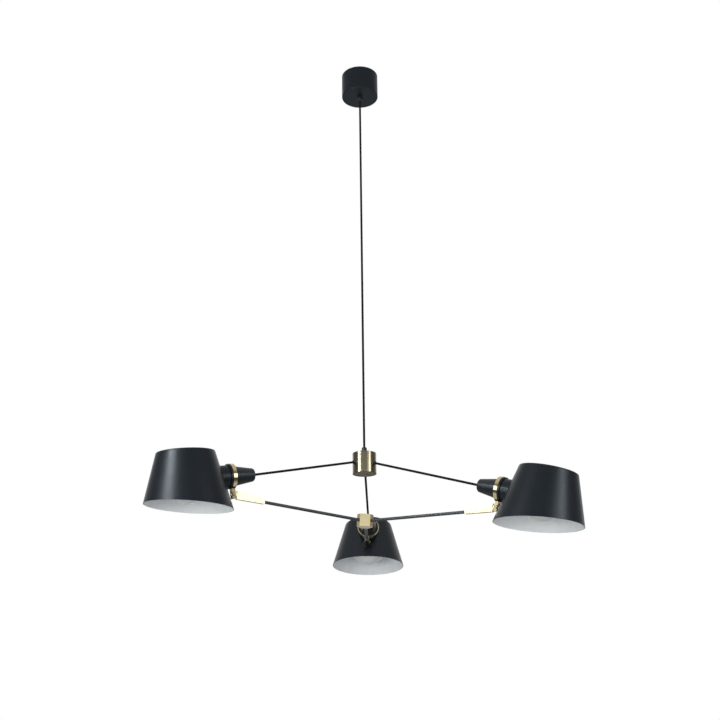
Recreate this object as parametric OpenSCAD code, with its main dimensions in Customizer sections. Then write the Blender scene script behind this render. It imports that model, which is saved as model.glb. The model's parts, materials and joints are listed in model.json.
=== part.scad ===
// Pendant ceiling light: three shaded heads on a three-armed star.
// The star hangs from the hub by three taut cords, and the hub hangs on one cable.
// Millimetres, +Z up, origin in the ceiling plane at the centre of the canopy.

/* [Canopy] */
// Outside diameter of the ceiling canopy
canopy_d = 89; // [75:1:120]
// Height of the ceiling canopy
canopy_h = 60.5; // [50:0.5:90]
// Wall of the canopy cup
canopy_wall = 1.2; // [0.8:0.1:2.5]
// Floor of the canopy cup
canopy_floor = 1.6; // [1:0.1:4]
// Rounding of the canopy's lower edge
canopy_round = 1; // [0.3:0.1:3]
// Width of the mounting strap
strap_w = 18; // [12:1:26]
// Thickness of the mounting strap
strap_t = 1.6; // [1:0.1:3]
// Length of the strap's end tabs, below the ceiling
strap_tab = 14; // [12:1:24]
// Diameter of the ceiling screw holes
ceiling_hole_d = 5; // [4:0.5:6.5]
// Distance between the ceiling screw holes
ceiling_hole_span = 56; // [40:1:58]
// Thread of the canopy's side screws
side_screw_d = 4; // [3:0.5:5]
// Depth of the side screws below the ceiling
side_screw_drop = 8; // [6:0.5:10]
// Width of the mains terminal block
terminal_w = 30; // [24:1:36]
// Depth of the mains terminal block
terminal_depth = 17; // [12:1:20]
// Height of the mains terminal block
terminal_h = 14; // [10:1:20]

/* [Cable and cords] */
// Diameter of the main cable
cable_d = 5; // [4:0.1:6.5]
// Diameter of the arm cords
cord_d = 5; // [4:0.1:6]
// Diameter of the canopy's cord grip
grip_d = 12; // [11:0.5:16]
// Length of the canopy's cord grip below the canopy
grip_h = 9; // [6:0.5:16]
// Thread of both cord grips
grip_thread_d = 9; // [8.4:0.2:10]
// Length of the clamped stop on the cable's end
stop_h = 7; // [4:0.5:9]
// Diameter of the clamped stop on the cable's end
stop_d = 11; // [9:0.5:14]

/* [Hub] */
// Drop from the ceiling to the middle of the hub
hub_drop = 1000; // [500:5:1600]
// Diameter of the hub
hub_d = 52; // [44:1:64]
// Height of the hub
hub_h = 46; // [42:0.5:60]
// Wall of the hub shell
hub_wall = 1.6; // [1:0.1:3]
// Rounding of the hub's edges
hub_round = 1; // [0.3:0.1:1.5]
// Thickness of the hub's base plate
base_t = 2.4; // [1.5:0.1:4]
// Diameter of the cord grip on the hub
hub_grip_d = 11.5; // [10.2:0.1:14]
// Height of the cord grip on the hub
hub_grip_h = 13; // [5:0.5:18]
// Height of the cord exits above the middle of the hub
exit_rise = 6.5; // [-2:0.5:9]
// Diameter of the cord bushes in the hub
bush_d = 8; // [7:0.2:10]
// Length of the cord bushes outside the hub
bush_out = 2.5; // [1:0.5:6]

/* [Star] */
// Drop from the middle of the hub to the middle of the star
star_drop = 125.5; // [90:0.5:160]
// Lean of the star to the right, set by the lengths of the cords
star_lean = 3.7; // [-6:0.1:6]
// Turn of the star about the hub's axis
star_turn = -1; // [-10:0.5:10]
// Rise of the arms, up and outward
arm_rise = 1.2; // [-3:0.1:5]
// Wide sides of the centre block
block_wide = 22; // [18:0.5:32]
// Narrow sides of the centre block, which hold the rods
block_narrow = 12.8; // [11:0.2:20]
// Height of the centre block
block_h = 26; // [20:1:40]
// Diameter of the arm rods
rod_d = 6.5; // [5:0.5:9]
// Depth of the rods in the centre block
rod_in_block = 12; // [8:0.5:13]
// Thread of the set screws in the centre block
set_screw_d = 4; // [3:0.5:5]
// Distance from the star's axis to the head hinges
arm_reach = 304; // [240:0.5:420]
// Length of the arm bars, from rod end to hinge
bar_len = 68; // [50:1:110]
// Thickness of the arm bars
bar_t = 10; // [9:0.5:14]
// Height of the arm bars at the rod
bar_h_rod = 11; // [11:0.5:18]
// Height of the arm bars at the hinge
bar_h_hinge = 17.5; // [14:0.5:20]
// Metal of the arm bars under the rods
bar_floor = 0.8; // [0.5:0.1:3]
// Depth of the rods in the arm bars
rod_in_bar = 16; // [10:0.5:24]

/* [Hinges] */
// Height of the hinges above the middle of the rods
hinge_rise = 4; // [0:0.5:6]
// Distance from a clamp ring's outside to its hinge
ear_stem = 10.5; // [9.5:0.5:20]
// Diameter of the hinge screws
hinge_d = 4; // [3:0.5:5]
// Thickness of the bars' hinge tongues
tongue_t = 5; // [4:0.5:7]
// Thickness of each clamp ear
ear_t = 3; // [2:0.1:4]
// Length of the clamp ears below their hinges
ear_below = 8.5; // [5:0.1:9]

/* [Heads] */
// Slope of the left head's neck, down and outward
left_slope = 14.3; // [5:0.1:25]
// Slope of the right head's neck, down and outward
right_slope = 15.2; // [5:0.1:25]
// Slope of the back head's neck, down and outward
back_slope = 18.5; // [5:0.1:25]
// Turn of the left head about its neck
left_twist = -2.5; // [-10:0.1:10]
// Turn of the right head about its neck
right_twist = 0.2; // [-10:0.1:10]
// Turn of the back head about its neck
back_twist = -2.8; // [-10:0.1:10]
// Wall of the necks round the lampholders
neck_wall = 2.9; // [2:0.1:5]
// Wall of the clamp rings
ring_wall = 2.95; // [2:0.05:5]
// Width of the clamp rings
ring_w = 7.5; // [6.5:0.5:12]
// Height of the collars beside the clamp rings
collar_step = 2.5; // [1:0.1:5]
// Width of the collars
collar_w = 4; // [2:0.5:9]
// Length of the rear cones
cone_len = 44; // [30:1:60]
// Diameter of the rear cones at the ring
cone_d = 40.5; // [34:0.5:46]
// Diameter of the rear cones at the tip
tip_d = 26; // [20:0.5:32]
// Rounding of the cone tips
tip_round = 5; // [2:0.5:7]
// Wall of the rear cones
cone_wall = 2; // [1.5:0.1:3]
// Diameter of the cord bushes in the cone tips
tip_bush_d = 10; // [9.5:0.1:12]

/* [Shades] */
// Diameter of the shades at the middle of the rim
shade_d = 175; // [150:1:182]
// Diameter of the shades at the top
top_d = 116; // [104:0.5:130]
// Height of the shades on their axis
shade_h = 108; // [104:0.5:150]
// Wall of the shades
shade_wall = 1; // [0.6:0.1:2]
// Rounding of the shades' top edge
shade_round = 3; // [1.5:0.1:8]
// Slant of the rim, lower on the neck's side
rim_slant = 7.5; // [0:0.5:10]
// Slope of the neck to the shade's top
neck_rise = 3.5; // [0:0.5:8]
// Distance from the shade's top to the middle of the clamp ring, along the shade's axis
ring_below_top = 49; // [46:0.5:60]

/* [Lampholders and bulbs] */
// Outside diameter of the lampholders
holder_d = 40; // [38:0.5:41]
// Reach of the lampholders into the shades
holder_in_shade = 10; // [7:0.5:13]
// Floor of the lampholders
holder_floor = 2; // [2:0.5:8]
// Diameter of the shade rings
shade_ring_d = 54; // [50:0.5:58]
// Diameter of the bulbs' screw caps
cap_d = 26.4; // [26.4:0.1:27]
// Length of the bulbs' screw caps
cap_len = 25; // [22:0.5:27]
// Diameter of the bulb globes
globe_d = 95; // [80:1:100]
// Length of the bulbs' straight necks
globe_neck_len = 3.5; // [2:0.5:10]

/* [Hidden] */
$fn = 96;
sides = ["left", "right", "back"];
azimuths = [for (a = [210, 330, 90]) a + star_turn];
slopes = [left_slope, right_slope, back_slope];
twists = [left_twist, right_twist, back_twist];

// Clearances: pushed together, turning on each other, and side by side
fit_gap = 0.1;
run_gap = 0.05;
side_gap = 0.2;
// Cuts reach this far past the faces that they open
over = 1;

// Canopy
canopy_r = canopy_d / 2;
canopy_in_r = canopy_r - canopy_wall;
tab_x = sqrt(pow(canopy_in_r, 2) - pow(strap_w / 2, 2)) - fit_gap;
side_key_d = side_screw_d / 2;
side_key_depth = 2;
side_screw_past = 3;
terminal_z = -strap_t - terminal_h;
terminal_poles = 3;
terminal_pitch = terminal_w / terminal_poles;
wire_hole_d = 4;
clamp_hole_d = 3.4;
clamp_hole_depth = 5;
nut_h = 4;
nut_flats = grip_thread_d + 6;
thread_past_nut = 1;
grip_bevel = 2;

// Hub, from its middle
hub_r = hub_d / 2;
hub_in_r = hub_r - hub_wall;
hub_top = -hub_drop + hub_h / 2;
hub_bottom = -hub_drop - hub_h / 2;
base_recess = 0.4;
base_lip_h = 3;
base_lip_t = 1.5;
base_top = hub_bottom + base_recess + base_t;
hub_thread_end = hub_top - hub_wall - nut_h - thread_past_nut;
stop_top = hub_thread_end - side_gap;
cable_past_stop = 1.5;
cable_end = stop_top - stop_h - cable_past_stop;
bush_in = 2;
cord_inside = 8;
hub_terminal_size = [24, 16, 10];

// Star and arms
star_z = -hub_drop - star_drop;
block_narrow_r = (2 * block_wide + block_narrow) / (2 * sqrt(3));
rod_start = block_narrow_r - rod_in_block;
set_screw_r = block_narrow_r - rod_in_block / 2;
set_screw_len = 6;
bar_start = arm_reach - bar_len;
rod_end = bar_start + rod_in_bar;
bar_low = -rod_d / 2 - bar_floor;
// The bars' shoulders stay clear of the ears, which lean towards them at the foot
shoulder_gap = 0.9;
shoulder = ring_w / 2 + ear_below * sin(max(slopes)) + shoulder_gap;
tongue_h = ring_w;
stack = tongue_t + 2 * (side_gap + ear_t);
hinge_head_d = 1.7 * hinge_d;
hinge_head_h = 0.5 * hinge_d;
hinge_key_d = 0.6 * hinge_d;
hinge_nut_flats = 1.6 * hinge_d;
hinge_nut_h = 0.6 * hinge_d;
hinge_past_nut = 0.5;

// Heads, along the neck from the middle of the clamp ring
neck_bore = holder_d + 2 * fit_gap;
neck_d = neck_bore + 2 * neck_wall;
ring_bore = neck_d + 2 * run_gap;
ring_d = ring_bore + 2 * ring_wall;
hinge_drop = ring_d / 2 + ear_stem;
collar_d = neck_d + 2 * collar_step;
neck_back = -ring_w / 2 - side_gap;
collar_start = ring_w / 2 + side_gap;
flange_t = 1.6;
flange_step = 0.9;
flange_d = neck_d + 2 * flange_step;
cone_base = neck_back - flange_t;
cone_tip = cone_base - cone_len;
spigot_len = 3;
spigot_wall = 2;
spigot_end = neck_back + spigot_len;
tip_bush_bore = cord_d + 1.6;
tip_bush_out = 1.5;
tip_bush_in = 1.5;
tip_bush_flange = 1.5;
// The cord goes this far into the cone's bush
cord_in_cone = 2.5;

// Lampholders: a floor, the contact sleeve and a lip
holder_gap = 0.5;
holder_lip = 2;
holder_wire_d = 9;
sleeve_d = cap_d + 1.6;
sleeve_in_d = cap_d + 2 * fit_gap;
sleeve_floor = 1;
contact_d = 8;
contact_room = 4;
sleeve_len = cap_len + contact_room;
holder_back = spigot_end + holder_gap;
sleeve_back = holder_back + holder_floor;
sleeve_front = sleeve_back + sleeve_len;
holder_front = sleeve_front + holder_lip;
cap_front = holder_front + 1;
cap_tip_d = 11;
cap_tip_h = 2.5;

// Shades: the neck's axis meets the wall at wall_x
wall_x = holder_front - holder_in_shade;
taper = (shade_d - top_d) / 2 / shade_h;
lean_of_wall = atan(taper);
ring_above_rim = shade_h - ring_below_top;
ring_to_axis = shade_d / 2 - taper * ring_above_rim + wall_x * (cos(neck_rise) + taper * sin(neck_rise));
shade_skirt = 18;

// Bulb globe: a round bulb with a hollow blend into its neck
globe_r = globe_d / 2;
globe_wall = 1;
globe_neck_r = cap_d / 2 + 1;
globe_blend = 10;
blend_x = cap_front + globe_neck_len;
globe_reach = blend_x + sqrt(pow(globe_r + globe_blend, 2) - pow(globe_neck_r + globe_blend, 2));

arm_nodes = ["arm_rod", "arm_bar", "arm_cord", "clamp_ring", "neck", "rear_cone", "cord_bush", "lampholder",
             "holder_sleeve", "shade_ring", "shade", "bulb_globe", "bulb_cap"];
single_nodes = ["mounting_strap", "canopy_cup", "canopy_side_screws", "terminal_block",
                "canopy_cord_grip", "canopy_grip_nut", "main_cable", "cable_stop", "hub_shell",
                "hub_base_plate", "hub_cord_grip", "hub_grip_nut", "hub_cord_bushes", "hub_terminal",
                "centre_block", "block_set_screws", "hinge_screws", "hinge_nuts"];

black = "#26282b";
dull_brass = "#7d6f45";
bright_brass = "#d8bf7a";
steel = "#b9bcc0";
white = "#f1f2f0";

// Turns of a point about the Y and Z axes, and a point of the neck's own frame in the lamp's frame
function turn_y(p, a) = [p.x * cos(a) + p.z * sin(a), p.y, p.z * cos(a) - p.x * sin(a)];
function turn_z(p, a) = [p.x * cos(a) - p.y * sin(a), p.x * sin(a) + p.y * cos(a), p.z];
function neck_point(i, p) =
    let (in_arm = [arm_reach, 0, hinge_rise] + turn_y(p + [0, 0, hinge_drop], slopes[i]))
    [0, 0, star_z] + turn_y(turn_z(turn_y(in_arm, -arm_rise), azimuths[i]), star_lean);

// Each cord runs from a point on the hub's axis to the tip of its cone
cord_root = [0, 0, -hub_drop + exit_rise];
cord_runs = [for (i = [0:2]) neck_point(i, [cone_tip, 0, 0]) - cord_root];

module in_star() {
    translate([0, 0, star_z]) rotate([0, star_lean, 0]) children();
}

module in_arm(i) {
    in_star() rotate([0, 0, azimuths[i]]) rotate([0, -arm_rise, 0]) children();
}

module at_hinge(i) {
    in_arm(i) translate([arm_reach, 0, hinge_rise]) children();
}

module in_bracket(i) {
    at_hinge(i) rotate([0, slopes[i], 0]) translate([0, 0, hinge_drop]) children();
}

module in_head(i) {
    in_bracket(i) rotate([twists[i], 0, 0]) children();
}

// From the neck's frame to the shade's, whose Z axis is the shade's own
module in_shade() {
    rotate([0, -neck_rise, 0]) translate([ring_to_axis, 0, -ring_above_rim]) children();
}

// Along a cord, with Z pointing out to the head
module along_cord(i) {
    run = cord_runs[i];
    translate(cord_root) rotate([0, acos(run.z / norm(run)), atan2(run.y, run.x)]) children();
}

// A cylinder along X from one place to another
module bar_x(from, to, d) {
    translate([from, 0, 0]) rotate([0, 90, 0]) cylinder(h = to - from, d = d);
}

// A cylinder along Y
module bar_y(from, to, d) {
    translate([0, from, 0]) rotate([-90, 0, 0]) cylinder(h = to - from, d = d);
}

// A body of revolution about X, drawn with X to the right and the radius up
module turned_x() {
    rotate([0, 90, 0]) rotate_extrude() mirror([1, 0]) rotate(90) children();
}

module hex_prism(flats, h) {
    cylinder(h = h, d = flats / cos(30), $fn = 6);
}

// A round solid with its lower edge rounded
module soft_drum(r, h, edge) {
    rotate_extrude() {
        translate([0, edge]) square([r, h - edge]);
        square([r - edge, edge + over / 2]);
        translate([r - edge, edge]) circle(r = edge);
    }
}

module mounting_strap() {
    color(steel) difference() {
        union() {
            translate([-tab_x, -strap_w / 2, -strap_t]) cube([2 * tab_x, strap_w, strap_t]);
            for (s = [-1, 1])
                translate([s * (tab_x - strap_t / 2) - strap_t / 2, -strap_w / 2, -strap_tab])
                    cube([strap_t, strap_w, strap_tab]);
        }
        for (s = [-1, 1])
            translate([s * ceiling_hole_span / 2, 0, -strap_t - over])
                cylinder(h = strap_t + 2 * over, d = ceiling_hole_d);
        translate([0, 0, -side_screw_drop]) bar_x(-canopy_r, canopy_r, side_screw_d);
    }
}

module canopy_cup() {
    color(black) difference() {
        translate([0, 0, -canopy_h]) soft_drum(canopy_r, canopy_h, canopy_round);
        translate([0, 0, -canopy_h + canopy_floor]) cylinder(h = canopy_h, r = canopy_in_r);
        translate([0, 0, -canopy_h - over]) cylinder(h = canopy_floor + 2 * over, d = grip_thread_d);
        translate([0, 0, -side_screw_drop])
            bar_x(-canopy_r - over, canopy_r + over, side_screw_d + 2 * fit_gap);
    }
}

// Headless screws in the strap's tabs, on whose ends the canopy hangs
module canopy_side_screws() {
    screw_end = canopy_r - side_gap;
    color(black) for (s = [0, 180]) rotate([0, 0, s]) translate([0, 0, -side_screw_drop]) difference() {
        bar_x(tab_x - strap_t - side_screw_past, screw_end, side_screw_d);
        translate([screw_end - side_key_depth, 0, 0]) rotate([0, 90, 0])
            hex_prism(side_key_d, side_key_depth + over);
    }
}

module terminal_block() {
    color(white) difference() {
        translate([-terminal_w / 2, -terminal_depth / 2, terminal_z])
            cube([terminal_w, terminal_depth, terminal_h]);
        for (i = [0:terminal_poles - 1])
            translate([(i - (terminal_poles - 1) / 2) * terminal_pitch, 0, terminal_z + terminal_h / 2]) {
                bar_y(-terminal_depth, terminal_depth, wire_hole_d);
                for (s = [-1, 1])
                    translate([0, s * terminal_depth / 4, -terminal_h / 2 - over])
                        cylinder(h = clamp_hole_depth + over, d = clamp_hole_d);
            }
    }
}

module canopy_cord_grip() {
    color(black) difference() {
        union() {
            translate([0, 0, -canopy_h - grip_h + grip_bevel])
                cylinder(h = grip_h - grip_bevel, d = grip_d);
            translate([0, 0, -canopy_h - grip_h])
                cylinder(h = grip_bevel, d1 = grip_d - 2 * grip_bevel, d2 = grip_d);
            translate([0, 0, -canopy_h])
                cylinder(h = canopy_floor + nut_h + thread_past_nut, d = grip_thread_d);
        }
        translate([0, 0, -canopy_h - grip_h - over]) cylinder(h = canopy_h, d = cable_d);
    }
}

module canopy_grip_nut() {
    color(black) translate([0, 0, -canopy_h + canopy_floor]) difference() {
        hex_prism(nut_flats, nut_h);
        translate([0, 0, -over]) cylinder(h = nut_h + 2 * over, d = grip_thread_d);
    }
}

module main_cable() {
    color(black) translate([0, 0, cable_end]) cylinder(h = terminal_z - cable_end, d = cable_d);
}

module cable_stop() {
    color(steel) translate([0, 0, stop_top - stop_h]) difference() {
        cylinder(h = stop_h, d = stop_d);
        translate([0, 0, -over]) cylinder(h = stop_h + 2 * over, d = cable_d);
    }
}

module hub_shell() {
    color(dull_brass) difference() {
        translate([0, 0, hub_top]) mirror([0, 0, 1]) soft_drum(hub_r, hub_h, hub_round);
        translate([0, 0, hub_bottom - over]) cylinder(h = hub_h - hub_wall + over, r = hub_in_r);
        translate([0, 0, hub_top - hub_wall - over]) cylinder(h = hub_wall + 2 * over, d = grip_thread_d);
        for (i = [0:2]) along_cord(i) translate([0, 0, hub_in_r - bush_in])
            cylinder(h = bush_in + hub_wall + bush_out, d = bush_d);
    }
}

module hub_base_plate() {
    color(dull_brass) translate([0, 0, hub_bottom + base_recess]) difference() {
        cylinder(h = base_t + base_lip_h, r = hub_in_r - fit_gap);
        translate([0, 0, base_t]) cylinder(h = base_lip_h + over, r = hub_in_r - fit_gap - base_lip_t);
    }
}

module hub_cord_grip() {
    color(black) difference() {
        union() {
            translate([0, 0, hub_top]) cylinder(h = hub_grip_h - grip_bevel, d = hub_grip_d);
            translate([0, 0, hub_top + hub_grip_h - grip_bevel])
                cylinder(h = grip_bevel, d1 = hub_grip_d, d2 = hub_grip_d - grip_bevel);
            translate([0, 0, hub_thread_end]) cylinder(h = hub_top - hub_thread_end, d = grip_thread_d);
        }
        translate([0, 0, hub_thread_end - over]) cylinder(h = hub_h, d = cable_d + 2 * run_gap);
    }
}

module hub_grip_nut() {
    color(black) translate([0, 0, hub_top - hub_wall - nut_h]) difference() {
        hex_prism(nut_flats, nut_h);
        translate([0, 0, -over]) cylinder(h = nut_h + 2 * over, d = grip_thread_d);
    }
}

module hub_cord_bushes() {
    color(black) for (i = [0:2]) along_cord(i) translate([0, 0, hub_in_r - bush_in]) difference() {
        cylinder(h = bush_in + hub_wall + bush_out, d = bush_d);
        translate([0, 0, -over]) cylinder(h = bush_in + hub_wall + bush_out + 2 * over, d = cord_d);
    }
}

module hub_terminal() {
    color(white) difference() {
        translate([-hub_terminal_size.x / 2, -hub_terminal_size.y / 2, base_top]) cube(hub_terminal_size);
        for (i = [-1:1])
            translate([i * hub_terminal_size.x / 3, 0, base_top + hub_terminal_size.z / 2])
                bar_y(-hub_terminal_size.y, hub_terminal_size.y, wire_hole_d);
    }
}

// A six-sided block: the wide sides face the front and the two rear corners, the narrow ones the arms
module centre_block() {
    corners = [for (a = azimuths) for (s = [-1, 1]) turn_z([block_narrow_r, s * block_narrow / 2, 0], a)];
    color(bright_brass) difference() {
        in_star() translate([0, 0, -block_h / 2])
            linear_extrude(block_h) polygon([for (c = corners) [c.x, c.y]]);
        for (i = [0:2]) in_arm(i) {
            bar_x(rod_start, block_narrow_r + over, rod_d);
            translate([set_screw_r, 0, 0]) cylinder(h = block_h, d = set_screw_d);
        }
    }
}

module block_set_screws() {
    color(steel) for (i = [0:2]) in_arm(i) translate([set_screw_r, 0, rod_d / 2]) difference() {
        cylinder(h = set_screw_len, d = set_screw_d);
        translate([0, 0, set_screw_len / 2]) hex_prism(set_screw_d / 2, set_screw_len);
    }
}

module arm_rod(i) {
    color(black) in_arm(i) bar_x(rod_start, rod_end, rod_d);
}

module arm_bar(i) {
    color(bright_brass) in_arm(i) difference() {
        union() {
            difference() {
                translate([0, bar_t / 2, 0]) rotate([90, 0, 0]) linear_extrude(bar_t)
                    polygon([[bar_start, bar_low], [arm_reach, hinge_rise - bar_h_hinge / 2],
                             [arm_reach, hinge_rise + bar_h_hinge / 2], [bar_start, bar_low + bar_h_rod]]);
                translate([arm_reach - shoulder, -bar_t, hinge_rise - bar_h_hinge])
                    cube([shoulder + over, 2 * bar_t, 2 * bar_h_hinge]);
            }
            translate([arm_reach, 0, hinge_rise]) {
                bar_y(-tongue_t / 2, tongue_t / 2, tongue_h);
                translate([-shoulder - over, -tongue_t / 2, -tongue_h / 2])
                    cube([shoulder + over, tongue_t, tongue_h]);
            }
        }
        bar_x(bar_start - over, rod_end, rod_d);
        translate([arm_reach, 0, hinge_rise]) bar_y(-bar_t, bar_t, hinge_d);
    }
}

module arm_cord(i) {
    color(black) along_cord(i)
        translate([0, 0, hub_in_r - cord_inside])
            cylinder(h = norm(cord_runs[i]) + cord_in_cone - hub_in_r + cord_inside, d = cord_d);
}

module hinge_screws() {
    color(bright_brass) for (i = [0:2]) at_hinge(i) {
        head_y = -stack / 2 - side_gap;
        bar_y(head_y, stack / 2 + side_gap + hinge_nut_h + hinge_past_nut, hinge_d);
        difference() {
            bar_y(head_y - hinge_head_h, head_y, hinge_head_d);
            translate([0, head_y - hinge_head_h - over, 0]) rotate([-90, 0, 0])
                hex_prism(hinge_key_d, hinge_head_h / 2 + over);
        }
    }
}

module hinge_nuts() {
    color(bright_brass) for (i = [0:2]) at_hinge(i)
        translate([0, stack / 2 + side_gap, 0]) rotate([-90, 0, 0]) difference() {
            hex_prism(hinge_nut_flats, hinge_nut_h);
            translate([0, 0, -over]) cylinder(h = hinge_nut_h + 2 * over, d = hinge_d);
        }
}

// A split ring whose two straight ears hold the bar's tongue between them
module clamp_ring(i) {
    slot_w = tongue_t + 2 * side_gap;
    ear_end = -hinge_drop - ear_below;
    color(bright_brass) in_bracket(i) difference() {
        union() {
            bar_x(-ring_w / 2, ring_w / 2, ring_d);
            translate([-ring_w / 2, -stack / 2, ear_end]) cube([ring_w, stack, -neck_d / 2 - ear_end]);
        }
        bar_x(-ring_w, ring_w, ring_bore);
        translate([-ring_w, -slot_w / 2, ear_end - over])
            cube([2 * ring_w, slot_w, over - neck_d / 4 - ear_end]);
        translate([0, 0, -hinge_drop]) bar_y(-stack, stack, hinge_d + 2 * run_gap);
    }
}

// The outside of the shade as a plain cone, grown by an amount, for cutting what meets it
module shade_cone(grow) {
    low = -shade_skirt;
    rotate_extrude() polygon([[0, low], [shade_d / 2 - taper * low + grow, low],
                              [top_d / 2 + grow, shade_h], [0, shade_h]]);
}

module neck(i) {
    color(black) in_head(i) difference() {
        union() {
            bar_x(neck_back, wall_x + shade_skirt, neck_d);
            bar_x(collar_start, collar_start + collar_w, collar_d);
        }
        bar_x(neck_back - over, wall_x + shade_skirt + over, neck_bore);
        in_shade() shade_cone(fit_gap);
    }
}

module rear_cone(i) {
    slope = (cone_d - tip_d) / 2 / cone_len;
    round_x = cone_tip + tip_round;
    round_r = tip_d / 2 + slope * tip_round - tip_round;
    inner_tip = cone_tip + 2 * cone_wall;
    bore_r = min(cone_d / 2 - cone_wall, neck_bore / 2 - fit_gap - spigot_wall);
    color(black) in_head(i) difference() {
        union() {
            turned_x() {
                polygon([[round_x, 0], [round_x, round_r + tip_round],
                         [cone_base, cone_d / 2], [cone_base, 0]]);
                translate([round_x, round_r]) intersection() {
                    circle(r = tip_round);
                    translate([-tip_round, 0]) square(tip_round);
                }
                translate([cone_tip, 0]) square([tip_round + over / 2, round_r]);
            }
            bar_x(cone_base, neck_back, flange_d);
            bar_x(neck_back, spigot_end, neck_bore - 2 * fit_gap);
        }
        turned_x() polygon([[inner_tip, 0], [inner_tip, tip_d / 2 - cone_wall], [cone_base, bore_r],
                            [spigot_end + over, bore_r], [spigot_end + over, 0]]);
        bar_x(cone_tip - over, inner_tip + over, tip_bush_d);
    }
}

module cord_bush(i) {
    color(black) in_head(i) difference() {
        union() {
            bar_x(cone_tip - tip_bush_out, cone_tip + 2 * cone_wall + tip_bush_in, tip_bush_d);
            bar_x(cone_tip + 2 * cone_wall, cone_tip + 2 * cone_wall + tip_bush_in,
                  tip_bush_d + 2 * tip_bush_flange);
        }
        bar_x(cone_tip - tip_bush_out - over, cone_tip + 2 * cone_wall + tip_bush_in + over, tip_bush_bore);
    }
}

module lampholder(i) {
    color(white) in_head(i) difference() {
        bar_x(holder_back, holder_front, holder_d);
        bar_x(sleeve_back, holder_front + over, sleeve_d);
        bar_x(holder_back - over, holder_front, holder_wire_d);
    }
}

module holder_sleeve(i) {
    color(dull_brass) in_head(i) {
        difference() {
            bar_x(sleeve_back, sleeve_front, sleeve_d);
            bar_x(sleeve_back + sleeve_floor, sleeve_front + over, sleeve_in_d);
        }
        bar_x(sleeve_back, cap_front - cap_len - cap_tip_h, contact_d);
    }
}

module shade_ring(i) {
    color(white) in_head(i) difference() {
        intersection() {
            bar_x(0, holder_front, shade_ring_d);
            in_shade() shade_cone(-(shade_wall / cos(lean_of_wall)) - fit_gap);
        }
        bar_x(-over, holder_front + over, holder_d + 2 * fit_gap);
    }
}

// Half outline of the shade, filled and less a skin, with its top edge rounded
module shade_outline(skin) {
    edge = [top_d / 2 + taper * shade_round - shade_round / cos(lean_of_wall), shade_h - shade_round];
    round_r = shade_round - skin;
    low_r = shade_d / 2 + taper * shade_skirt - skin / cos(lean_of_wall);
    polygon([[0, -shade_skirt], [low_r, -shade_skirt],
             edge + round_r * [cos(lean_of_wall), sin(lean_of_wall)], edge, [0, edge.y]]);
    translate([0, edge.y]) square([edge.x, round_r]);
    translate(edge) circle(r = round_r);
}

// A spun cone with a closed top and a slanted rim, and a hole in its side for the lampholder
module shade(i) {
    color(black) in_head(i) difference() {
        in_shade() difference() {
            rotate_extrude() difference() {
                shade_outline(0);
                shade_outline(shade_wall);
            }
            rotate([0, -rim_slant, 0]) translate([-shade_d, -shade_d, -2 * shade_skirt])
                cube([2 * shade_d, 2 * shade_d, 2 * shade_skirt]);
        }
        bar_x(0, holder_front + shade_skirt, holder_d + 2 * fit_gap);
    }
}

// Half outline of the bulb: a globe, a neck and the hollow blend between them
module bulb_outline(skin) {
    r = globe_r - skin;
    neck_r = globe_neck_r - skin;
    blend = globe_blend + skin;
    meet = r / (r + blend);
    meet_x = globe_reach + (blend_x - globe_reach) * meet;
    difference() {
        union() {
            translate([globe_reach, 0]) circle(r = r);
            translate([cap_front, 0]) square([blend_x - cap_front + over / 2, neck_r]);
            difference() {
                translate([blend_x, 0]) square([meet_x - blend_x, (neck_r + blend) * meet]);
                translate([blend_x, neck_r + blend]) circle(r = blend);
            }
        }
        translate([0, -globe_d]) square([2 * globe_reach, globe_d]);
    }
}

module bulb_globe(i) {
    color(white) in_head(i) turned_x() difference() {
        bulb_outline(0);
        bulb_outline(globe_wall);
    }
}

module bulb_cap(i) {
    color(steel) in_head(i) {
        bar_x(cap_front - cap_len, cap_front, cap_d);
        bar_x(cap_front - cap_len - cap_tip_h, cap_front - cap_len, cap_tip_d);
    }
}

mounting_strap();
canopy_cup();
canopy_side_screws();
terminal_block();
canopy_cord_grip();
canopy_grip_nut();
main_cable();
cable_stop();
hub_shell();
hub_base_plate();
hub_cord_grip();
hub_grip_nut();
hub_cord_bushes();
hub_terminal();
centre_block();
block_set_screws();
hinge_screws();
hinge_nuts();
for (i = [0:2]) {
    arm_rod(i);
    arm_bar(i);
    arm_cord(i);
    clamp_ring(i);
    neck(i);
    rear_cone(i);
    cord_bush(i);
    lampholder(i);
    holder_sleeve(i);
    shade_ring(i);
    shade(i);
    bulb_globe(i);
    bulb_cap(i);
}
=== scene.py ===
"""Looks of a three-headed pendant ceiling light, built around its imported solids. Metres, +Z up."""
import json
import math

import bpy
from mathutils import Matrix, Vector


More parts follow.
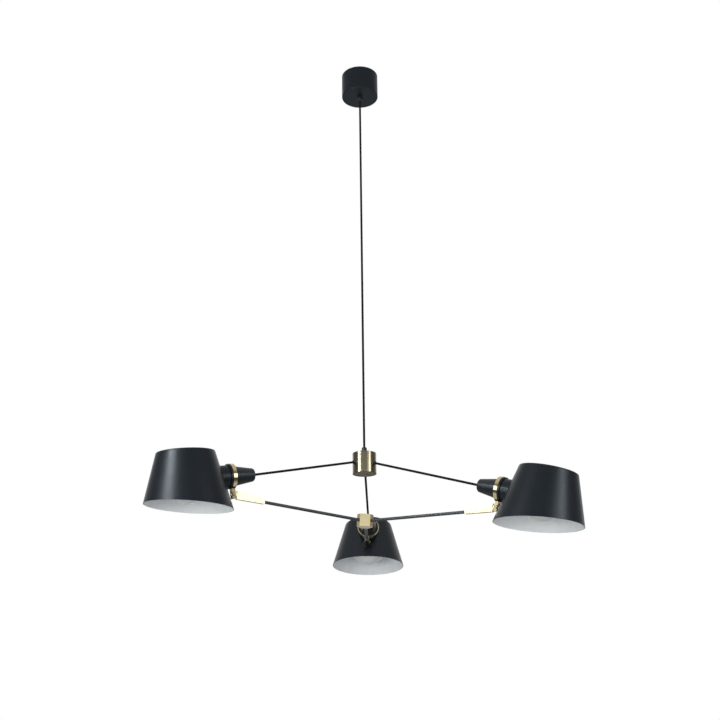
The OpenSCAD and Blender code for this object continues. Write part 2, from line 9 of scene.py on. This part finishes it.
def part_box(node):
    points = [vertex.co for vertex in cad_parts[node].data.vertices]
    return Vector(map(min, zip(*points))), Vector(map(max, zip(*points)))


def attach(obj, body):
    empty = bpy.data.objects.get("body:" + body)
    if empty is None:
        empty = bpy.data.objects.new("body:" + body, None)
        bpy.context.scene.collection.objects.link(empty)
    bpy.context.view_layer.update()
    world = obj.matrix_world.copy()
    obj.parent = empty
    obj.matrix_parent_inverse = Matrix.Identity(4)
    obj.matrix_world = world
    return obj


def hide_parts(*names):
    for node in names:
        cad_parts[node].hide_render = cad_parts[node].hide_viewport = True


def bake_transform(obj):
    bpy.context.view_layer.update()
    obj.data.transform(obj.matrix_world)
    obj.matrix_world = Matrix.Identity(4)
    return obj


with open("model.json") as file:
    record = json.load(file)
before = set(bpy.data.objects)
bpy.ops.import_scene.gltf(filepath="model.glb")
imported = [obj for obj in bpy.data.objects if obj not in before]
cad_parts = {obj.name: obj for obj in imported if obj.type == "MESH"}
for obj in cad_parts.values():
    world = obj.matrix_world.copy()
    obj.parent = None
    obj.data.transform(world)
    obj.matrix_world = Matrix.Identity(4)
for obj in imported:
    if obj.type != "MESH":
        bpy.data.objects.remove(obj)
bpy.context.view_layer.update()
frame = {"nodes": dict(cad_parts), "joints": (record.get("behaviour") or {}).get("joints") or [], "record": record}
nodes = frame["nodes"]
joints = {joint["name"]: joint for joint in frame["joints"]}
scene = bpy.context.scene

SIDES = ("left", "right", "back")
MM = 0.001

# Heads, from the middle of the clamp ring: the cone's tip along the neck, the ears' top below it
CONE_TIP = -49.55 * MM
EAR_TOP = -27 * MM
# A bar's face whose normal points to the lamp's axis by more than this is the bar's rod end
END_ON = 0.5

# Arm cords: they meet on the hub's axis, start inside the hub, run straight out of it, end in the cones
CORD_ROOT = Vector((0.0, 0.0, -0.9935))
CORD_START = 16.4 * MM
CORD_IN_CONE = 2.5 * MM
CORD_D = 5 * MM
CORD_STEP = 5 * MM
CABLE_D = 5 * MM
CABLE_STEP = 20 * MM
TUBE_SIDES = 20

# Camera of the photograph, in its own square frame
CAMERA_PLACE = (-0.0071, -2.1346, -1.5490)
CAMERA_LENS = 50.404
CAMERA_SENSOR = 36
CAMERA_PITCH = 20.30
CAMERA_ROLL = 0.65

WHITE = (1, 1, 1, 1)
FLOOR_Z = -2.4
FLOOR_HALF = 15
FLOOR_TONES = ((0.84, 0.84, 0.84), (0.87, 0.87, 0.87))
FLOOR_ROUGHNESS = 0.8
# Added to the floor for the eye alone, so that it looks pale and keeps its shadows
FLOOR_GLOW = 0.5
# Gloss sees the floor pale round this place, and dim from the second of these distances on,
FLOOR_MIDDLE = (-0.55, -0.35, 0)
FLOOR_PALE = (1.1, 1.9)
FLOOR_DIM = (0.13, 0.13, 0.135, 1)
# but pale again behind the lamp, where the backdrop comes down on it
FLOOR_BEHIND = (1.5, 3.0)

# Brightness of the room: for soft light, and in gloss to the sides, overhead and low in front
ROOM_SOFT = 0.45
ROOM_DIM = 0.2
ROOM_ABOVE = 0.38
ROOM_FRONT = 1.1
# Brightness of the backdrop, in gloss and to the eye
BACKDROP = 1.0
# Where these parts fade in, by the Y (away from the camera) and Z of a direction
FRONT_Y = (-0.5, -0.85)
FRONT_Z = (0.28, 0.15)
ABOVE_Z = (0.45, 0.92)
BACKDROP_Y = (0.35, 0.95)

# Angle round from the camera's line, distance, heights, width and brightness of each soft light
SOFTBOXES = {
    "left_box": (-52, 2.2, (-1.52, -0.42), 0.85, 1.75),
    "right_box": (40, 2.2, (-1.72, -0.42), 0.85, 1.75),
    "left_strip": (-50, 1.28, (-0.72, -0.4), 0.33, 21),
    "right_strip": (53, 1.33, (-0.95, -0.56), 0.30, 6),
    "low_panel": (-22, 3.6, (-1.95, -1.25), 3.4, 6),
}


def neck_frame(side):
    """Frame of a head's neck: origin in the clamp ring, +X out along the neck, +Z up."""
    twist = joints[side + "_twist"]
    along = Vector(twist["axis"]).normalized()
    across = -Vector(joints[side + "_tilt"]["axis"]).normalized()
    up = along.cross(across)
    turn = Matrix((along, across, up)).transposed().to_4x4()
    return Matrix.Translation(twist["pos_m"]) @ turn


def make_camera():
    data = bpy.data.cameras.new("camera")
    data.lens = CAMERA_LENS
    data.sensor_width = CAMERA_SENSOR
    camera = bpy.data.objects.new("camera", data)
    scene.collection.objects.link(camera)
    pitch = Matrix.Rotation(math.radians(90 + CAMERA_PITCH), 4, "X")
    roll = Matrix.Rotation(math.radians(-CAMERA_ROLL), 4, "Z")
    camera.matrix_world = Matrix.Translation(CAMERA_PLACE) @ pitch @ roll
    scene.camera = camera


# Materials

NOISE_SPAN = (0.3, 0.7)
EVEN = (1, 1, 1)
LENGTHWISE = (1, 20, 1)
ROUND = (1, 1, 60)
BLUISH = (0.83, 0.93, 1.0)


def node_adder(tree):
    """A function that adds a node to a tree, with its settings and its inputs' values or links."""
    def add(kind, inputs=None, **settings):
        node = tree.nodes.new(kind)
        for key, value in settings.items():
            setattr(node, key, value)
        for key, value in (inputs or {}).items():
            if isinstance(value, bpy.types.NodeSocket):
                tree.links.new(value, node.inputs[key])
            else:
                node.inputs[key].default_value = value
        return node

    return add


def new_material(name):
    """A material, its principled shader, and functions that add nodes and link them to it."""
    material = bpy.data.materials.new(name)
    material.use_nodes = True
    tree = material.node_tree
    shader = tree.nodes["Principled BSDF"]

    def link(output, name):
        tree.links.new(output, shader.inputs[name])

    return material, shader, node_adder(tree), link


def noise(add, scale, detail=2.0, stretch=EVEN):
    """Noise in the piece's own place, in cycles per metre."""
    place = add("ShaderNodeTexCoord").outputs["Object"]
    if stretch != EVEN:
        place = add("ShaderNodeMapping", {"Vector": place, "Scale": stretch}).outputs["Vector"]
    inputs = {"Vector": place, "Scale": scale, "Detail": detail}
    return add("ShaderNodeTexNoise", inputs).outputs["Fac"]


def colour_between(add, factor, low, high):
    """Colour that runs from low to high over the span of a noise."""
    ramp = add("ShaderNodeValToRGB", {"Fac": factor})
    for stop, place, colour in zip(ramp.color_ramp.elements, NOISE_SPAN, (low, high)):
        stop.position, stop.color = place, (*colour, 1)
    return ramp.outputs["Color"]


def vary_roughness(add, link, factor, middle, spread):
    """Roughness that goes from one side of a middle value to the other over the span of a noise."""
    inputs = {"Value": factor, "From Min": NOISE_SPAN[0], "From Max": NOISE_SPAN[1],
              "To Min": middle - spread, "To Max": middle + spread}
    link(add("ShaderNodeMapRange", inputs).outputs["Result"], "Roughness")


def bump(add, link, height, strength, distance):
    node = add("ShaderNodeBump", {"Height": height, "Strength": strength, "Distance": distance})
    link(node.outputs["Normal"], "Normal")


def powder_coat(name, low, high, roughness, specular, tint=EVEN):
    """Satin powder coat with a fine orange peel."""
    material, shader, add, link = new_material(name)
    link(colour_between(add, noise(add, 60, detail=3), low, high), "Base Color")
    vary_roughness(add, link, noise(add, 250), roughness, spread=0.04)
    shader.inputs["Specular IOR Level"].default_value = specular
    shader.inputs["Specular Tint"].default_value = (*tint, 1)
    bump(add, link, noise(add, 900), strength=0.02, distance=0.2 * MM)
    return material


def metal(name, low, high, roughness, brushed, grain):
    """Metal with a brushed grain, finer along the directions in which brushed is larger."""
    material, shader, add, link = new_material(name)
    shader.inputs["Metallic"].default_value = 1
    lines = noise(add, grain, detail=3, stretch=brushed)
    link(colour_between(add, lines, low, high), "Base Color")
    vary_roughness(add, link, lines, roughness, spread=0.02)
    bump(add, link, lines, strength=0.01, distance=0.1 * MM)
    return material


def plastic(name, low, high, roughness, scale, specular=0.5):
    """Moulded plastic with a slight mottle."""
    material, shader, add, link = new_material(name)
    link(colour_between(add, noise(add, scale), low, high), "Base Color")
    vary_roughness(add, link, noise(add, 4 * scale), roughness, spread=0.05)
    shader.inputs["Specular IOR Level"].default_value = specular
    bump(add, link, noise(add, 10 * scale), strength=0.04, distance=0.1 * MM)
    return material


def glass(name, low, high, roughness, coat):
    """White glass with a gloss skin and a faint cloudiness."""
    material, shader, add, link = new_material(name)
    link(colour_between(add, noise(add, 35, detail=3), low, high), "Base Color")
    vary_roughness(add, link, noise(add, 120), roughness, spread=0.03)
    shader.inputs["Coat Weight"].default_value = coat
    return material


# Name and kind of each look, its two tones, its roughness, and what else its kind asks for
LOOK_ROWS = (
    ("black_coat", powder_coat, (0.0022, 0.0044, 0.0078), (0.0034, 0.0060, 0.0100),
     0.38, 0.45, BLUISH),
    ("white_coat", powder_coat, (0.70, 0.735, 0.75), (0.75, 0.785, 0.80), 0.5, 0.4),
    ("aged_brass", metal, (0.258, 0.23, 0.158), (0.315, 0.282, 0.20), 0.2, ROUND, 60),
    ("polished_brass", metal, (0.74, 0.63, 0.36), (0.84, 0.715, 0.43), 0.08, EVEN, 90),
    ("steel", metal, (0.50, 0.50, 0.52), (0.62, 0.62, 0.63), 0.32, LENGTHWISE, 80),
    ("cap_metal", metal, (0.62, 0.62, 0.61), (0.72, 0.72, 0.71), 0.25, ROUND, 80),
    ("white_plastic", plastic, (0.70, 0.70, 0.68), (0.76, 0.76, 0.74), 0.35, 60),
    ("black_plastic", plastic, (0.010, 0.010, 0.011), (0.016, 0.016, 0.017), 0.45, 80),
    ("black_cord", plastic, (0.006, 0.006, 0.0065), (0.009, 0.009, 0.0095), 0.8, 90, 0.15),
    ("opal_glass", glass, (0.55, 0.562, 0.565), (0.60, 0.612, 0.615), 0.19, 0.3),
    ("turned_brass", metal, (0.33, 0.305, 0.235), (0.39, 0.36, 0.28), 0.55, EVEN, 90),
    # Painted shade: a dark brass for ears, rod ends, hinge screws and nuts, standing in for the dark they reflect
    ("dull_brass", metal, (0.13, 0.117, 0.075), (0.17, 0.153, 0.10), 0.25, EVEN, 90),
    # Painted sheen: lighter copies of the black coat for the rods and cones, standing in for their highlights
    ("rod_coat", powder_coat, (0.016, 0.018, 0.021), (0.021, 0.023, 0.027), 0.38, 0.75, BLUISH),
    ("cone_coat", powder_coat, (0.007, 0.0085, 0.0105), (0.0095, 0.011, 0.0135),
     0.38, 0.6, BLUISH),
)
LOOKS = {name: kind(name, *values) for name, kind, *values in LOOK_ROWS}

# Solids whose look differs from their slot's: the hub's turned plate, painted shade (dark brass) on the hinge
# screws and nuts, and painted sheen (a lighter black coat) on the rods and cones
OWN_LOOKS = {"hub_base_plate": "turned_brass", "hinge_screws": "dull_brass", "hinge_nuts": "dull_brass"}
OWN_LOOKS.update({"arm_rod_" + side: "rod_coat" for side in SIDES})
OWN_LOOKS.update({"rear_cone_" + side: "cone_coat" for side in SIDES})


def dress_nodes():
    """Gives every solid the look of its material slot, or its own one."""
    for row in frame["record"]["subparts"]:
        materials = nodes[row["node"]].data.materials
        materials.clear()
        materials.append(LOOKS[OWN_LOOKS.get(row["node"], row["material_slot"])])


def paint_faces(node, look, chosen):
    """A second look on those faces of a solid that a test chooses."""
    mesh = nodes[node].data
    mesh.materials.append(LOOKS[look])
    for face in mesh.polygons:
        face.material_index = int(chosen(face))


def paint_shade_inside(side):
    """White paint on the inside faces of a shade: those that look at its bulb."""
    low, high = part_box("bulb_globe_" + side)
    middle = (low + high) / 2
    paint_faces("shade_" + side, "white_coat",
                lambda face: face.normal.dot(middle - face.center) > 0)


def paint_ear_shade(side):
    """Painted shade: dark brass on the faces below a clamp ring (its two ears), standing in for the dark they
    reflect.
    """
    into_neck = neck_frame(side).inverted()
    paint_faces("clamp_ring_" + side, "dull_brass",
                lambda face: (into_neck @ face.center).z < EAR_TOP)


def paint_rod_end_shade(side):
    """Painted shade: dark brass on the end of an arm bar round its rod, the faces that look at the lamp's axis."""
    low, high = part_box("arm_bar_" + side)
    inward = -((low + high) / 2).to_2d().to_3d().normalized()
    paint_faces("arm_bar_" + side, "dull_brass",
                lambda face: face.normal.dot(inward) > END_ON)


# Cords

def tube(name, points, diameter, sides=TUBE_SIDES):
    """A closed round tube along straight points."""
    along = (points[-1] - points[0]).normalized()
    side = along.orthogonal().normalized()
    other = along.cross(side)
    rim = [(side * math.cos(a) + other * math.sin(a)) * diameter / 2
           for a in (2 * math.pi * k / sides for k in range(sides))]
    places = [point + spoke for point in points for spoke in rim]
    faces = [tuple(reversed(range(sides))), tuple(range(len(places) - sides, len(places)))]
    for ring in range(len(points) - 1):
        for k in range(sides):
            low, next_low = ring * sides + k, ring * sides + (k + 1) % sides
            faces.append((low, next_low, next_low + sides, low + sides))
    mesh = bpy.data.meshes.new(name)
    mesh.from_pydata(places, [], faces)
    mesh.polygons.foreach_set("use_smooth", [len(face) == 4 for face in faces])
    mesh.update()
    mesh.materials.append(LOOKS["black_cord"])
    cord = bpy.data.objects.new(name, mesh)
    scene.collection.objects.link(cord)
    return cord


def straight_points(start, end, step):
    """Points at even steps, close to the given one, from start to end."""
    count = max(2, round((end - start).length / step))
    return [start.lerp(end, k / count) for k in range(count + 1)]


def make_main_cable():
    low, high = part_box("main_cable")
    points = straight_points(Vector((0, 0, high.z)), Vector((0, 0, low.z)), CABLE_STEP)
    cable = tube("main_cable_sheath", points, CABLE_D)
    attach(cable, "canopy")
    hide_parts("main_cable")


def make_arm_cord(side):
    tip = neck_frame(side) @ Vector((CONE_TIP, 0, 0))
    along = (tip - CORD_ROOT).normalized()
    start = CORD_ROOT + along * CORD_START
    end = tip + along * CORD_IN_CONE
    points = straight_points(start, end, CORD_STEP)
    cord = tube("arm_cord_sheath_" + side, points, CORD_D)
    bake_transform(cord)
    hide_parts("arm_cord_" + side)


# Studio

def fade(add, value, span, **settings):
    """Number that runs from 0 to 1 as a value goes through a span."""
    inputs = {"Value": value, "From Min": span[0], "From Max": span[1]}
    return add("ShaderNodeMapRange", inputs, **settings).outputs["Result"]


def blend(add, factor, low, high):
    """Number that runs from low to high as a factor goes from 0 to 1."""
    inputs = {"Value": factor, "To Min": low, "To Max": high}
    return add("ShaderNodeMapRange", inputs).outputs["Result"]


def math_node(add, kind, first, second):
    return add("ShaderNodeMath", {0: first, 1: second}, operation=kind).outputs[0]


def make_world():
    """White to the eye. Gloss sees the white backdrop behind the lamp, in a room dim elsewhere."""
    world = bpy.data.worlds.new("studio")
    scene.world = world
    world.use_nodes = True
    world.node_tree.nodes.clear()
    add = node_adder(world.node_tree)
    smooth = {"interpolation_type": "SMOOTHSTEP"}
    paths = add("ShaderNodeLightPath").outputs
    way = add("ShaderNodeSeparateXYZ", {0: add("ShaderNodeTexCoord").outputs["Generated"]}).outputs
    in_front = math_node(add, "MULTIPLY", fade(add, way["Y"], FRONT_Y, **smooth),
                         fade(add, way["Z"], FRONT_Z, **smooth))
    overhead = fade(add, way["Z"], ABOVE_Z, **smooth)
    room = math_node(add, "ADD", blend(add, in_front, ROOM_DIM, ROOM_FRONT),
                     blend(add, overhead, 0, ROOM_ABOVE))
    in_gloss = blend(add, fade(add, way["Y"], BACKDROP_Y, **smooth), room, BACKDROP)
    unseen = blend(add, paths["Is Glossy Ray"], ROOM_SOFT, in_gloss)
    looked_at = math_node(add, "MAXIMUM", paths["Is Camera Ray"], paths["Is Transmission Ray"])
    level = blend(add, looked_at, unseen, BACKDROP)
    background = add("ShaderNodeBackground", {"Color": WHITE, "Strength": level})
    add("ShaderNodeOutputWorld", {"Surface": background.outputs[0]})


def make_softbox(name, angle, away, heights, width, brightness):
    """Upright soft light that faces the lamp's axis, at an angle round from the camera's line."""
    low, high = heights
    data = bpy.data.lights.new(name, "AREA")
    data.shape = "RECTANGLE"
    data.size, data.size_y = width, high - low
    data.energy = brightness * math.pi * width * (high - low)
    light = bpy.data.objects.new(name, data)
    scene.collection.objects.link(light)
    turn = math.radians(angle)
    light.location = (away * math.sin(turn), -away * math.cos(turn), (low + high) / 2)
    light.rotation_euler = (math.pi / 2, 0, turn)
    light.visible_camera = False


def floor_material():
    """Pale floor. Gloss sees it dim away from the lamp, but not behind it."""
    material, shader, add, link = new_material("pale_floor")
    pale = colour_between(add, noise(add, 3), *FLOOR_TONES)
    place = add("ShaderNodeTexCoord").outputs["Object"]
    away = add("ShaderNodeVectorMath", {0: place, 1: FLOOR_MIDDLE}, operation="DISTANCE")
    far = fade(add, away.outputs["Value"], FLOOR_PALE)
    behind = fade(add, add("ShaderNodeSeparateXYZ", {0: place}).outputs["Y"], FLOOR_BEHIND)
    before = blend(add, behind, 1.0, 0.0)
    paths = add("ShaderNodeLightPath").outputs
    dimmed = math_node(add, "MULTIPLY", far, paths["Is Glossy Ray"])
    dimmed = math_node(add, "MULTIPLY", before, dimmed)
    mixed = add("ShaderNodeMixRGB", {"Fac": dimmed, "Color1": pale, "Color2": FLOOR_DIM})
    link(mixed.outputs["Color"], "Base Color")
    link(math_node(add, "MULTIPLY", paths["Is Camera Ray"], FLOOR_GLOW), "Emission Strength")
    shader.inputs["Emission Color"].default_value = WHITE
    shader.inputs["Roughness"].default_value = FLOOR_ROUGHNESS
    return material


def make_floor():
    half = FLOOR_HALF
    corners = [(-half, -half, 0), (half, -half, 0), (half, half, 0), (-half, half, 0)]
    mesh = bpy.data.meshes.new("floor")
    mesh.from_pydata(corners, [], [(0, 1, 2, 3)])
    mesh.materials.append(floor_material())
    floor = bpy.data.objects.new("floor", mesh)
    floor.location.z = FLOOR_Z
    scene.collection.objects.link(floor)


make_camera()
dress_nodes()
make_main_cable()
for side in SIDES:
    make_arm_cord(side)
    paint_shade_inside(side)
    paint_ear_shade(side)
    paint_rod_end_shade(side)
make_world()
for name, setting in SOFTBOXES.items():
    make_softbox(name, *setting)
make_floor()
scene.view_settings.view_transform = "Standard"
